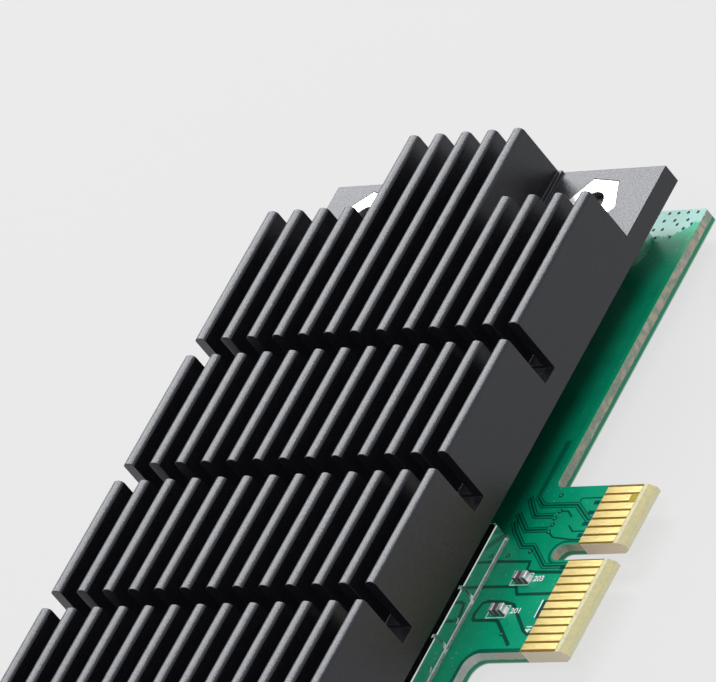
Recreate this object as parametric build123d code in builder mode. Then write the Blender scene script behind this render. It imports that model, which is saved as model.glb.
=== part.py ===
from build123d import *
import os

os.makedirs("parts", exist_ok=True)

# Wireless network card for a one lane computer expansion slot, lying flat with its parts upwards.
# X runs along the card away from the bracket, Y runs away from the edge connector, Z is up.
# The origin is on the key notch's centre line, at the tip of the connector tongue, on the board's top face.

# Circuit board
board_thickness = 1.57
board_end_margin = 0.65
board_bracket_x = -57.15
board_top_y = 58.6
far_shoulder_y = 12.75
near_shoulder_y = 12.35
near_shoulder_radius = 1.6
far_shoulder_radius = 0.8
board_corner_radius = 0.3

# How far a cutting shape stands past the surface that it cuts
cut_margin = 1.0

# Connector tongue, with contacts 1 to 11 on the bracket's side of the key notch and 12 to 18 beyond it
contact_pitch = 1.0
near_contact_count = 11
far_contact_count = 7
key_to_contact = 1.5
contact_width = 0.75
contact_length = 4.45
contact_inset = 1.3
short_contact_inset = 2.2
contact_thickness = 0.05
tongue_side_margin = 0.65
key_width = 1.9
key_depth = 8.4
bevel_length = 0.8
bevel_depth = 0.5

# Heatsink, an extrusion whose fins run along X and are sawn across into rows
sink_length = 84.7
sink_centre_x = 0.15
sink_wall_y = 12.73
fin_count = 13
fin_pitch = 3.5
fin_thickness = 1.4
sink_far_ledge = 0.6
sink_bottom_z = 4.85
floor_thickness = 2.25
valley_rise = 0.3
fin_top_z = 13.8
fin_crown_rise = 0.45
row_cut_width = 2.05
row_cut_pitch = 15.88
row_cut_count = 3
corner_pocket_length = 8.95
corner_fin_count = 4
corner_ledge = 0.6

# Hexagon headed standoffs pressed into the heatsink's corners, with screws from below the board
standoff_inset_x = 4.45
standoff_first_y = 20.1
standoff_spacing_y = 30.5
standoff_hex = 6.1
standoff_head_height = 1.4
standoff_barrel_diameter = 5.2
standoff_turns = (0.0, 38.0, 22.0, 10.0)
standoff_bore_diameter = 3.0
press_clearance = 0.02
thread_clearance = 0.05
screw_hole_clearance = 0.15
sink_screw_length = 8.0
screw_head_diameter = 5.6
screw_head_height = 1.7
screw_head_chamfer = 0.6
cross_width = 0.8
cross_length = 3.0
cross_depth = 0.9

# Shield can over the radio
shield_far_x = 2.15
shield_wall_y = 15.3
shield_length = 33.6
shield_width = 35.6
shield_height = 2.15
shield_sheet = 0.2
shield_fit = 0.03
skirt_lift = 0.42
foot_width = 0.38
foot_thickness = 0.15
frame_rim_width = 1.0
skirt_slot_width = 0.45
skirt_slot_pitch = 5.92
skirt_slot_top = 0.45
long_side_slots = 4
short_side_slots = 4
dimple_radius = 0.32
dimple_depth = 0.1
dimple_height = 0.85
cover_edge_radius = 0.22
cover_corner_gap = 0.3

# Electronics below the shield
radio_chip_size = 12.0
radio_chip_height = 0.9
radio_chip_chamfer = 0.1
radio_chip_from_wall = 16.0
chip_pad_size = 10.0
front_end_size = 3.0
front_end_height = 0.75
front_end_spacing_y = 16.0
crystal_length = 3.2
crystal_width = 2.5
crystal_height = 0.7
crystal_corner_radius = 0.3
sink_pad_size = 24.0

# Electronics between the shield and the card's far end
inductor_size = 4.0
inductor_height = 2.0
inductor_corner_radius = 0.6
inductor_edge_chamfer = 0.2
inductor_to_regulator = 5.0
regulator_size = 3.0
regulator_height = 0.9
memory_length = 4.9
memory_width = 3.9
memory_height = 1.45
memory_stand = 0.15
memory_leg_pitch = 1.27
memory_leg_count = 4
memory_leg_root = 0.3
memory_leg_width = 0.42
memory_leg_reach = 1.05
memory_leg_thickness = 0.2
power_x = 14.0
power_y = 29.6
memory_from_end = 17.0

# Small two ended parts lie along Y: their length, width and height
bead_size = (1.6, 0.85, 0.85)
capacitor_size = (1.0, 0.5, 0.5)
resistor_size = (1.0, 0.5, 0.35)
small_part_pitch = 2.0
power_capacitor_count = 5
memory_capacitor_count = 3
radio_capacitor_count = 5
radio_capacitor_gap = 1.5
resistor_count = 4
end_cap_share = 0.26
end_cap_proud = 0.03
bead_places = ((-3.3, 10.25), (-7.2, 11.05))

# Bracket, folded from one sheet
bracket_outer_x = -59.05
sheet = 0.86
bend_inner_radius = 0.5
bracket_low_z = -3.67
bracket_width = 18.42
bracket_top_y = 112.0
tongue_tip_y = -8.0
tongue_width = 10.2
tongue_neck_y = 0.0
tongue_shoulder_y = 4.0
tongue_tip_narrowing = 2.0
tongue_tip_taper = 1.5
tab_reach = 11.43
tab_slot_width = 4.42
tab_slot_depth = 5.2
tab_slot_from_fold = 6.35
tab_corner_radius = 1.0
ear_length = 9.7
ear_width = 8.0
ear_relief = 0.8
ear_places_y = (17.6, 53.6)
ear_hole_from_end = 3.6
ear_bore_diameter = 2.5
bracket_screw_length = 3.4

# Antenna jacks
jack_places_y = (27.6, 43.6)
jack_height = 5.5
jack_body_depth = 8.0
jack_body_width = 7.0
jack_body_top = 9.0
jack_body_edge_chamfer = 0.4
jack_thread_diameter = 6.35
jack_neck_diameter = 5.9
jack_neck_length = 1.6
jack_reach = 9.6
jack_thread_chamfer = 0.3
jack_mouth_diameter = 5.3
jack_mouth_depth = 1.6
jack_bore_diameter = 4.6
jack_bore_depth = 4.6
jack_hole_clearance = 0.35
jack_leg_size = 0.9
jack_leg_spacing = 5.0
jack_leg_length = 3.0
jack_leg_hole_clearance = 0.12
jack_pin_diameter = 0.95
jack_pin_recess = 0.6
jack_pin_tip_chamfer = 0.25
jack_post_diameter = 0.8
jack_channel_diameter = 2.0
insulator_core_diameter = 2.6
insulator_disc_thickness = 0.6

# Worked out from the sizes above
sink_near_x = sink_centre_x - sink_length / 2
sink_far_x = sink_centre_x + sink_length / 2
board_far_x = sink_far_x + board_end_margin
memory_x = board_far_x - memory_from_end
fin_ys = [sink_wall_y + fin_thickness / 2 + fin_pitch * i for i in range(fin_count)]
sink_width = fin_pitch * (fin_count - 1) + fin_thickness + sink_far_ledge
sink_floor_z = sink_bottom_z + floor_thickness
standoff_xs = (sink_near_x + standoff_inset_x, sink_far_x - standoff_inset_x)
standoff_ys = (standoff_first_y, standoff_first_y + standoff_spacing_y)
standoff_places = [(x, y) for x in standoff_xs for y in standoff_ys]
board_bottom_z = -board_thickness
shield_near_x = shield_far_x - shield_length
shield_centre = (shield_far_x - shield_length / 2, shield_wall_y + shield_width / 2)
bracket_inner_x = bracket_outer_x + sheet
bracket_high_z = bracket_low_z + bracket_width
bend_outer_radius = bend_inner_radius + sheet
ear_end_x = bracket_inner_x + ear_length
ear_hole_x = ear_end_x - ear_hole_from_end
jack_body_far_x = bracket_inner_x + jack_body_depth
jack_leg_centre_x = board_bracket_x + (jack_body_far_x - board_bracket_x) / 2
near_contact_xs = [-key_to_contact - contact_pitch * i for i in range(near_contact_count)]
far_contact_xs = [key_to_contact + contact_pitch * i for i in range(far_contact_count)]
short_contact_x = far_contact_xs[-2]
tongue_near_x = near_contact_xs[-1] - tongue_side_margin
tongue_far_x = far_contact_xs[-1] + tongue_side_margin
screw_hole_diameter = standoff_bore_diameter + 2 * screw_hole_clearance


# Positions along one axis, a pitch apart and centred on a middle
def evenly(middle, pitch, count):
    return [middle + pitch * (i - (count - 1) / 2) for i in range(count)]


def jack_leg_places(y):
    half = jack_leg_spacing / 2
    return [(jack_leg_centre_x + a, y + b) for a in (-half, half) for b in (-half, half)]


# Circuit board
with BuildPart() as circuit_board:
    with BuildSketch(Plane.XY.offset(board_bottom_z)):
        with BuildLine():
            Polyline(
                (board_bracket_x, near_shoulder_y),
                (tongue_near_x, near_shoulder_y),
                (tongue_near_x, 0),
                (tongue_far_x, 0),
                (tongue_far_x, far_shoulder_y),
                (board_far_x, far_shoulder_y),
                (board_far_x, board_top_y),
                (board_bracket_x, board_top_y),
                close=True,
            )
        make_face()
        near_corner = vertices().sort_by_distance((tongue_near_x, near_shoulder_y))[0]
        fillet(near_corner, near_shoulder_radius)
        far_corner = vertices().sort_by_distance((tongue_far_x, far_shoulder_y))[0]
        fillet(far_corner, far_shoulder_radius)
        end_corners = vertices().group_by(Axis.X)[-1]
        fillet(end_corners, board_corner_radius)
        with Locations((0, key_depth - key_width / 2)):
            Circle(key_width / 2, mode=Mode.SUBTRACT)
        with Locations((0, 0)):
            Rectangle(
                key_width,
                key_depth - key_width / 2,
                align=(Align.CENTER, Align.MIN),
                mode=Mode.SUBTRACT,
            )
    extrude(amount=board_thickness)
    # The tongue's tip is bevelled on both faces so that it slides into the slot
    with BuildSketch(Plane.YZ.offset(tongue_near_x - cut_margin)):
        for z, inward in ((0, -1), (board_bottom_z, 1)):
            with BuildLine():
                Polyline((0, z), (bevel_length, z), (0, z + inward * bevel_depth), close=True)
            make_face()
    extrude(amount=tongue_far_x - tongue_near_x + 2 * cut_margin, mode=Mode.SUBTRACT)
    with Locations(*[(x, y, 0) for x, y in standoff_places]):
        Hole(screw_hole_diameter / 2)
    with Locations(*[(ear_hole_x, y, 0) for y in ear_places_y]):
        Hole(screw_hole_diameter / 2)
    for jack_y in jack_places_y:
        with Locations(*[(x, y, 0) for x, y in jack_leg_places(jack_y)]):
            Hole(jack_leg_size / 2**0.5 + jack_leg_hole_clearance)
        with Locations((jack_leg_centre_x, jack_y, 0)):
            Hole(jack_post_diameter / 2 + jack_leg_hole_clearance)

# Gold plated contacts on both faces of the tongue
contact_mid_y = contact_inset + contact_length / 2
short_contact_length = contact_inset + contact_length - short_contact_inset
full_contact_places = [(x, contact_mid_y) for x in near_contact_xs + far_contact_xs if x != short_contact_x]

with BuildPart() as front_contacts:
    with BuildSketch(Plane.XY):
        with Locations(*full_contact_places):
            Rectangle(contact_width, contact_length)
        with Locations((short_contact_x, short_contact_inset)):
            Rectangle(contact_width, short_contact_length, align=(Align.CENTER, Align.MIN))
    extrude(amount=contact_thickness)

with BuildPart() as back_contacts:
    with BuildSketch(Plane.XY.offset(board_bottom_z)):
        with Locations(*[(x, contact_mid_y) for x in near_contact_xs + far_contact_xs]):
            Rectangle(contact_width, contact_length)
    extrude(amount=-contact_thickness)

# Heatsink
half_fin = fin_thickness / 2
valley_z = sink_floor_z + valley_rise
fin_shoulder_z = fin_top_z - fin_crown_rise
row_cut_xs = evenly(sink_centre_x, row_cut_pitch, row_cut_count)
pocket_inner_y = fin_ys[corner_fin_count] - half_fin - corner_ledge
pocket_outer_y = fin_ys[-1 - corner_fin_count] + half_fin + corner_ledge
sink_top_y = sink_wall_y + sink_width

with BuildPart() as heatsink:
    with BuildSketch(Plane.YZ.offset(sink_near_x)):
        with Locations((sink_wall_y, sink_bottom_z)):
            Rectangle(sink_width, valley_z - sink_bottom_z, align=(Align.MIN, Align.MIN))
        with Locations(*[(y, valley_z) for y in fin_ys]):
            Rectangle(fin_thickness, fin_shoulder_z - valley_z, align=(Align.CENTER, Align.MIN))
        with Locations(*[(y, fin_shoulder_z) for y in fin_ys]):
            Ellipse(half_fin, fin_crown_rise)
    extrude(amount=sink_length)
    # The saw cuts across the fins reach down to the floor
    with BuildSketch(Plane.XY.offset(sink_floor_z)):
        with Locations(*[(x, sink_wall_y + sink_width / 2) for x in row_cut_xs]):
            Rectangle(row_cut_width, sink_width + 2 * cut_margin)
    extrude(amount=fin_top_z - sink_floor_z + cut_margin, mode=Mode.SUBTRACT)
    # The four corners are milled bare for the standoffs
    with BuildSketch(Plane.XY.offset(sink_floor_z)):
        for x, x_align in ((sink_near_x, Align.MIN), (sink_far_x, Align.MAX)):
            with Locations((x, sink_wall_y)):
                Rectangle(corner_pocket_length, pocket_inner_y - sink_wall_y, align=(x_align, Align.MIN))
            with Locations((x, sink_top_y)):
                Rectangle(corner_pocket_length, sink_top_y - pocket_outer_y, align=(x_align, Align.MAX))
    extrude(amount=fin_top_z - sink_floor_z + cut_margin, mode=Mode.SUBTRACT)
    with BuildSketch(Plane.XY.offset(sink_floor_z)):
        for place, turn in zip(standoff_places, standoff_turns):
            with Locations(place):
                RegularPolygon(
                    standoff_hex / 2 + press_clearance, 6, major_radius=False, rotation=turn
                )
    extrude(amount=-standoff_head_height, mode=Mode.SUBTRACT)
    with Locations(*[(x, y, sink_floor_z) for x, y in standoff_places]):
        Hole(standoff_barrel_diameter / 2 + press_clearance)

with BuildPart() as heatsink_standoffs:
    with BuildSketch(Plane.XY):
        with Locations(*standoff_places):
            Circle(standoff_barrel_diameter / 2)
    extrude(amount=sink_floor_z)
    with BuildSketch(Plane.XY.offset(sink_floor_z)):
        for place, turn in zip(standoff_places, standoff_turns):
            with Locations(place):
                RegularPolygon(standoff_hex / 2, 6, major_radius=False, rotation=turn)
    extrude(amount=-standoff_head_height)
    with Locations(*[(x, y, sink_floor_z) for x, y in standoff_places]):
        Hole(standoff_bore_diameter / 2)


# The crosses that a driver fits, cut into screw heads that face down
def cross_recesses(places, z):
    with BuildPart() as crosses:
        with BuildSketch(Plane.XY.offset(z)):
            with Locations(*places):
                Rectangle(cross_width, cross_length)
                Rectangle(cross_length, cross_width)
        extrude(amount=cross_depth)
    return crosses.part


screw_head_z = board_bottom_z - screw_head_height

with BuildPart() as heatsink_screws:
    with BuildSketch(Plane.XY.offset(screw_head_z)):
        with Locations(*standoff_places):
            Circle(screw_head_diameter / 2)
    extrude(amount=screw_head_height)
    chamfer(edges().group_by(Axis.Z)[0], screw_head_chamfer)
    with BuildSketch(Plane.XY.offset(board_bottom_z)):
        with Locations(*standoff_places):
            Circle(standoff_bore_diameter / 2 - thread_clearance)
    extrude(amount=sink_screw_length)
    add(cross_recesses(standoff_places, screw_head_z), mode=Mode.SUBTRACT)

# Shield can: a soldered frame and a cover clipped over it
frame_outer_length = shield_length - 2 * (shield_sheet + shield_fit)
frame_outer_width = shield_width - 2 * (shield_sheet + shield_fit)
frame_top_z = shield_height - shield_sheet

with BuildPart() as shield_frame:
    with BuildSketch(Plane.XY):
        with Locations(shield_centre):
            Rectangle(frame_outer_length, frame_outer_width)
            Rectangle(
                frame_outer_length - 2 * shield_sheet,
                frame_outer_width - 2 * shield_sheet,
                mode=Mode.SUBTRACT,
            )
    extrude(amount=frame_top_z)
    with BuildSketch(Plane.XY.offset(frame_top_z)):
        with Locations(shield_centre):
            Rectangle(frame_outer_length, frame_outer_width)
            Rectangle(
                frame_outer_length - 2 * frame_rim_width,
                frame_outer_width - 2 * frame_rim_width,
                mode=Mode.SUBTRACT,
            )
    extrude(amount=-shield_sheet)
    # Each foot is bent out of its own side, so the feet end at the corners
    with BuildSketch(Plane.XY):
        with Locations(shield_centre):
            Rectangle(frame_outer_length + 2 * foot_width, frame_outer_width)
            Rectangle(frame_outer_length, frame_outer_width + 2 * foot_width)
            Rectangle(
                frame_outer_length - shield_sheet,
                frame_outer_width - shield_sheet,
                mode=Mode.SUBTRACT,
            )
    extrude(amount=foot_thickness)

long_slot_xs = evenly(shield_centre[0], skirt_slot_pitch, long_side_slots)
short_slot_ys = evenly(shield_centre[1], skirt_slot_pitch, short_side_slots)
long_dimple_xs = [x + skirt_slot_pitch / 2 for x in long_slot_xs[:-1]]
short_dimple_ys = [y + skirt_slot_pitch / 2 for y in short_slot_ys[:-1]]
shield_high_y = shield_wall_y + shield_width

with BuildPart() as shield_cover:
    with BuildSketch(Plane.XY.offset(skirt_lift)):
        with Locations(shield_centre):
            Rectangle(shield_length, shield_width)
    extrude(amount=shield_height - skirt_lift)
    fillet(edges().group_by(Axis.Z)[-1], cover_edge_radius)
    with BuildSketch(Plane.XY.offset(skirt_lift)):
        with Locations(shield_centre):
            Rectangle(shield_length - 2 * shield_sheet, shield_width - 2 * shield_sheet)
    extrude(amount=shield_height - skirt_lift - shield_sheet, mode=Mode.SUBTRACT)
    # The sides are folded one by one from the sheet, so they stand apart at the corners
    with BuildSketch(Plane.XY.offset(skirt_lift)):
        with Locations(shield_centre):
            with GridLocations(shield_length, shield_width, 2, 2):
                Rectangle(2 * cover_corner_gap, 2 * cover_corner_gap)
    extrude(amount=shield_height, mode=Mode.SUBTRACT)
    # Slots divide the skirt into springy tongues and nick the folded edge
    with BuildSketch(Plane.XY.offset(skirt_lift)):
        for y in (shield_wall_y, shield_high_y):
            with Locations(*[(x, y) for x in long_slot_xs]):
                Rectangle(skirt_slot_width, 2 * skirt_slot_top)
        for x in (shield_near_x, shield_far_x):
            with Locations(*[(x, y) for y in short_slot_ys]):
                Rectangle(2 * skirt_slot_top, skirt_slot_width)
    extrude(amount=shield_height, mode=Mode.SUBTRACT)
    # The tongues between two slots have a dimple each, pressed inwards to catch the frame
    low_side = ([(x, shield_wall_y, dimple_height) for x in long_dimple_xs], (-90, 0, 0))
    high_side = ([(x, shield_high_y, dimple_height) for x in long_dimple_xs], (90, 0, 0))
    near_side = ([(shield_near_x, y, dimple_height) for y in short_dimple_ys], (0, 90, 0))
    far_side = ([(shield_far_x, y, dimple_height) for y in short_dimple_ys], (0, -90, 0))
    for dimple_places, inward_turn in (low_side, high_side, near_side, far_side):
        with Locations(*dimple_places):
            Cylinder(
                dimple_radius,
                dimple_depth,
                rotation=inward_turn,
                align=(Align.CENTER, Align.CENTER, Align.MIN),
                mode=Mode.SUBTRACT,
            )

# Parts under the shield, and the two pads that carry the heat up to the heatsink
radio_centre = (shield_far_x - radio_chip_from_wall, shield_centre[1])

with BuildPart() as radio_chip:
    with BuildSketch(Plane.XY):
        with Locations(radio_centre):
            Rectangle(radio_chip_size, radio_chip_size)
    extrude(amount=radio_chip_height)
    chamfer(edges().group_by(Axis.Z)[-1], radio_chip_chamfer)

with BuildPart() as chip_pad:
    with BuildSketch(Plane.XY.offset(radio_chip_height)):
        with Locations(radio_centre):
            Rectangle(chip_pad_size, chip_pad_size)
    extrude(amount=shield_height - shield_sheet - radio_chip_height)

with BuildPart() as heatsink_pad:
    with BuildSketch(Plane.XY.offset(shield_height)):
        with Locations(radio_centre):
            Rectangle(sink_pad_size, sink_pad_size)
    extrude(amount=sink_bottom_z - shield_height)

front_end_x = (shield_near_x + radio_centre[0] - radio_chip_size / 2) / 2

with BuildPart() as front_end_chips:
    with BuildSketch(Plane.XY):
        with Locations((front_end_x, shield_centre[1])):
            with GridLocations(0, front_end_spacing_y, 1, 2):
                Rectangle(front_end_size, front_end_size)
    extrude(amount=front_end_height)

with BuildPart() as reference_crystal:
    with BuildSketch(Plane.XY):
        with Locations((radio_centre[0] + radio_chip_size / 2 + crystal_length, radio_centre[1])):
            Rectangle(crystal_width, crystal_length)
    extrude(amount=crystal_height)
    fillet(edges().filter_by(Axis.Z), crystal_corner_radius)

# Power supply and settings memory beyond the shield
regulator_centre = (power_x + inductor_to_regulator, power_y)

with BuildPart() as power_inductor:
    with BuildSketch(Plane.XY):
        with Locations((power_x, power_y)):
            RectangleRounded(inductor_size, inductor_size, inductor_corner_radius)
    extrude(amount=inductor_height)
    chamfer(edges().group_by(Axis.Z)[-1], inductor_edge_chamfer)

with BuildPart() as regulator_chip:
    with BuildSketch(Plane.XY):
        with Locations(regulator_centre):
            Rectangle(regulator_size, regulator_size)
    extrude(amount=regulator_height)

leg_top_z = memory_height / 2
leg_foot_length = memory_leg_reach / 2
memory_half_width = memory_width / 2
memory_leg_rows = [y - memory_leg_width / 2 for y in evenly(power_y, memory_leg_pitch, memory_leg_count)]

with BuildPart() as memory_chip:
    with BuildSketch(Plane.XY.offset(memory_stand)):
        with Locations((memory_x, power_y)):
            Rectangle(memory_width, memory_length)
    extrude(amount=memory_height - memory_stand)
    for leg_y in memory_leg_rows:
        for side in (-1, 1):
            with BuildSketch(Plane.XZ.offset(-leg_y)):
                with BuildLine():
                    leg_line = Polyline(
                        (memory_x + side * (memory_half_width - memory_leg_root), leg_top_z),
                        (memory_x + side * (memory_half_width + leg_foot_length), leg_top_z),
                        (memory_x + side * (memory_half_width + leg_foot_length), memory_leg_thickness / 2),
                        (memory_x + side * (memory_half_width + memory_leg_reach), memory_leg_thickness / 2),
                    )
                trace(leg_line, memory_leg_thickness)
            extrude(amount=-memory_leg_width)


# Ceramic bodies whose plated end caps stand a little proud of them
def two_ended_parts(places, size):
    width, length, height = size[1], size[0], size[2]
    cap_length = length * end_cap_share
    with BuildPart() as parts:
        with BuildSketch(Plane.XY):
            with Locations(*places):
                Rectangle(width, length)
        extrude(amount=height)
        with BuildSketch(Plane.XY):
            with Locations(*places):
                with GridLocations(0, length - cap_length, 1, 2):
                    Rectangle(width + 2 * end_cap_proud, cap_length)
        extrude(amount=height + end_cap_proud)
    return parts.part


with BuildPart() as ferrite_beads:
    add(two_ended_parts(bead_places, bead_size))

power_capacitors = [
    (x, power_y + inductor_size) for x in evenly(power_x, small_part_pitch, power_capacitor_count)
]
memory_capacitors = [
    (x, power_y + memory_length) for x in evenly(memory_x, small_part_pitch, memory_capacitor_count)
]
radio_capacitor_y = radio_centre[1] - radio_chip_size / 2 - radio_capacitor_gap
radio_capacitors = [
    (x, radio_capacitor_y) for x in evenly(radio_centre[0], small_part_pitch, radio_capacitor_count)
]

with BuildPart() as capacitors:
    add(two_ended_parts(power_capacitors + memory_capacitors + radio_capacitors, capacitor_size))

resistor_places = [(x, power_y - inductor_size) for x in evenly(power_x, small_part_pitch, resistor_count)]

with BuildPart() as resistors:
    add(two_ended_parts(resistor_places, resistor_size))

# Bracket
jack_hole_diameter = jack_thread_diameter + 2 * jack_hole_clearance
slot_centre_x = bracket_outer_x - tab_slot_from_fold
slot_end_z = bracket_high_z - tab_slot_depth + tab_slot_width / 2

with BuildPart() as bracket:
    # The fold at the top: the wall, a bend and the tab that the case's screw holds
    with BuildSketch(Plane.XY.offset(bracket_low_z)):
        with BuildLine():
            wall_line = FilletPolyline(
                (bracket_inner_x - sheet / 2, tongue_tip_y),
                (bracket_inner_x - sheet / 2, bracket_top_y - sheet / 2),
                (bracket_outer_x - tab_reach, bracket_top_y - sheet / 2),
                radius=bend_inner_radius + sheet / 2,
            )
        trace(wall_line, sheet)
    extrude(amount=bracket_width)
    # The lower end narrows to a tongue, cut from the wall on both sides
    tongue_margin = (bracket_width - tongue_width) / 2
    with BuildSketch(Plane.YZ.offset(bracket_outer_x - cut_margin)):
        for edge_z, inward in ((bracket_low_z, 1), (bracket_high_z, -1)):
            with BuildLine():
                Polyline(
                    (tongue_tip_y - cut_margin, edge_z - inward * cut_margin),
                    (tongue_tip_y - cut_margin, edge_z + inward * (tongue_margin + tongue_tip_narrowing)),
                    (tongue_tip_y, edge_z + inward * (tongue_margin + tongue_tip_narrowing)),
                    (tongue_tip_y + tongue_tip_taper, edge_z + inward * tongue_margin),
                    (tongue_neck_y, edge_z + inward * tongue_margin),
                    (tongue_shoulder_y, edge_z),
                    (tongue_shoulder_y, edge_z - inward * cut_margin),
                    close=True,
                )
            make_face()
    extrude(amount=sheet + 2 * cut_margin, mode=Mode.SUBTRACT)
    # Openings in the wall: the jacks' holes, and the reliefs beside the two ears
    with BuildSketch(Plane.YZ.offset(bracket_outer_x - cut_margin)):
        with Locations(*[(y, jack_height) for y in jack_places_y]):
            Circle(jack_hole_diameter / 2)
        with Locations(*[(y, bracket_low_z - cut_margin) for y in ear_places_y]):
            Rectangle(
                ear_width + 2 * ear_relief,
                cut_margin - bracket_low_z + bend_outer_radius,
                align=(Align.CENTER, Align.MIN),
            )
    extrude(amount=sheet + 2 * cut_margin, mode=Mode.SUBTRACT)
    for ear_y in ear_places_y:
        with BuildSketch(Plane.XZ.offset(-(ear_y - ear_width / 2))):
            with BuildLine():
                ear_line = FilletPolyline(
                    (bracket_inner_x - sheet / 2, bend_outer_radius + sheet),
                    (bracket_inner_x - sheet / 2, sheet / 2),
                    (ear_end_x, sheet / 2),
                    radius=bend_inner_radius + sheet / 2,
                )
            trace(ear_line, sheet)
        extrude(amount=-ear_width)
    with BuildSketch(Plane.XY):
        with Locations(*[(ear_hole_x, y) for y in ear_places_y]):
            Circle(ear_bore_diameter / 2)
    extrude(amount=sheet, mode=Mode.SUBTRACT)
    # The tab's screw slot is open at the side
    with BuildSketch(Plane.XZ.offset(-(bracket_top_y - sheet - cut_margin))):
        with Locations((slot_centre_x, slot_end_z)):
            Circle(tab_slot_width / 2)
            Rectangle(tab_slot_width, tab_slot_depth + cut_margin, align=(Align.CENTER, Align.MIN))
    extrude(amount=-(sheet + 2 * cut_margin), mode=Mode.SUBTRACT)
    tab_corners = edges().filter_by(Axis.Y).group_by(Axis.X)[0]
    fillet(tab_corners, tab_corner_radius)

ear_screw_places = [(ear_hole_x, y) for y in ear_places_y]

with BuildPart() as bracket_screws:
    with BuildSketch(Plane.XY.offset(screw_head_z)):
        with Locations(*ear_screw_places):
            Circle(screw_head_diameter / 2)
    extrude(amount=screw_head_height)
    chamfer(edges().group_by(Axis.Z)[0], screw_head_chamfer)
    with BuildSketch(Plane.XY.offset(board_bottom_z)):
        with Locations(*ear_screw_places):
            Circle(ear_bore_diameter / 2 - thread_clearance)
    extrude(amount=bracket_screw_length)
    add(cross_recesses(ear_screw_places, screw_head_z), mode=Mode.SUBTRACT)

# Antenna jacks: a brass body that stands on the board and passes through the bracket
jack_mouth_x = bracket_outer_x - jack_reach
bore_floor_x = jack_mouth_x + jack_bore_depth
bore_end_x = jack_leg_centre_x + jack_channel_diameter / 2
insulator_end_x = jack_leg_centre_x - jack_channel_diameter / 2
jacks = []

for jack_name, jack_y in zip(("lower_jack", "upper_jack"), jack_places_y):
    with BuildPart() as jack:
        with BuildSketch(Plane.XY):
            with Locations((bracket_inner_x, jack_y)):
                Rectangle(jack_body_depth, jack_body_width, align=(Align.MIN, Align.CENTER))
        extrude(amount=jack_body_top)
        chamfer(edges().group_by(Axis.Z)[-1], jack_body_edge_chamfer)
        with BuildSketch(Plane.YZ.offset(bracket_inner_x)):
            with Locations((jack_y, jack_height)):
                Circle(jack_neck_diameter / 2)
        extrude(amount=-(sheet + jack_neck_length))
        with BuildSketch(Plane.YZ.offset(bracket_outer_x - jack_neck_length)):
            with Locations((jack_y, jack_height)):
                Circle(jack_thread_diameter / 2)
        extrude(amount=-(jack_reach - jack_neck_length))
        chamfer(edges().filter_by(GeomType.CIRCLE).group_by(Axis.X)[0], jack_thread_chamfer)
        with BuildSketch(Plane.YZ.offset(jack_mouth_x)):
            with Locations((jack_y, jack_height)):
                Circle(jack_mouth_diameter / 2)
        extrude(amount=jack_mouth_depth, mode=Mode.SUBTRACT)
        with BuildSketch(Plane.YZ.offset(jack_mouth_x)):
            with Locations((jack_y, jack_height)):
                Circle(jack_bore_diameter / 2)
        extrude(amount=jack_bore_depth, mode=Mode.SUBTRACT)
        # The insulator's bore ends over the channel in which the pin goes down to the board
        with BuildSketch(Plane.YZ.offset(bore_floor_x)):
            with Locations((jack_y, jack_height)):
                Circle(insulator_core_diameter / 2)
        extrude(amount=bore_end_x - bore_floor_x, mode=Mode.SUBTRACT)
        with BuildSketch(Plane.XY):
            with Locations((jack_leg_centre_x, jack_y)):
                Circle(jack_channel_diameter / 2)
        extrude(amount=jack_height, mode=Mode.SUBTRACT)
        with BuildSketch(Plane.XY):
            with Locations(*jack_leg_places(jack_y)):
                Rectangle(jack_leg_size, jack_leg_size)
        extrude(amount=-jack_leg_length)
    jack.part.label = jack_name
    jacks.append(jack)

pin_tip_x = jack_mouth_x + jack_pin_recess
insulator_face_x = bore_floor_x - insulator_disc_thickness

with BuildPart() as jack_insulators:
    with BuildSketch(Plane.YZ.offset(insulator_face_x)):
        with Locations(*[(y, jack_height) for y in jack_places_y]):
            Circle(jack_bore_diameter / 2 - press_clearance)
    extrude(amount=insulator_disc_thickness)
    with BuildSketch(Plane.YZ.offset(bore_floor_x)):
        with Locations(*[(y, jack_height) for y in jack_places_y]):
            Circle(insulator_core_diameter / 2 - press_clearance)
    extrude(amount=insulator_end_x - bore_floor_x)
    with BuildSketch(Plane.YZ.offset(insulator_face_x)):
        with Locations(*[(y, jack_height) for y in jack_places_y]):
            Circle(jack_pin_diameter / 2)
    extrude(amount=insulator_end_x - insulator_face_x, mode=Mode.SUBTRACT)

jack_pin_radius = jack_pin_diameter / 2 - press_clearance
straight_pin_x = pin_tip_x + jack_pin_tip_chamfer

# Each pin is a rod along the jack's axis with a thinner post that goes down through the board
with BuildPart() as jack_pins:
    with BuildSketch(Plane.YZ.offset(straight_pin_x)):
        with Locations(*[(y, jack_height) for y in jack_places_y]):
            Circle(jack_pin_radius)
    extrude(amount=jack_leg_centre_x + jack_pin_radius - straight_pin_x)
    with BuildSketch(Plane.XY.offset(-jack_leg_length)):
        with Locations(*[(jack_leg_centre_x, y) for y in jack_places_y]):
            Circle(jack_post_diameter / 2)
    extrude(amount=jack_leg_length + jack_height)
    with Locations(*[(pin_tip_x, y, jack_height) for y in jack_places_y]):
        Cone(
            jack_pin_radius - jack_pin_tip_chamfer,
            jack_pin_radius,
            jack_pin_tip_chamfer,
            rotation=(0, 90, 0),
            align=(Align.CENTER, Align.CENTER, Align.MIN),
        )

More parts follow.
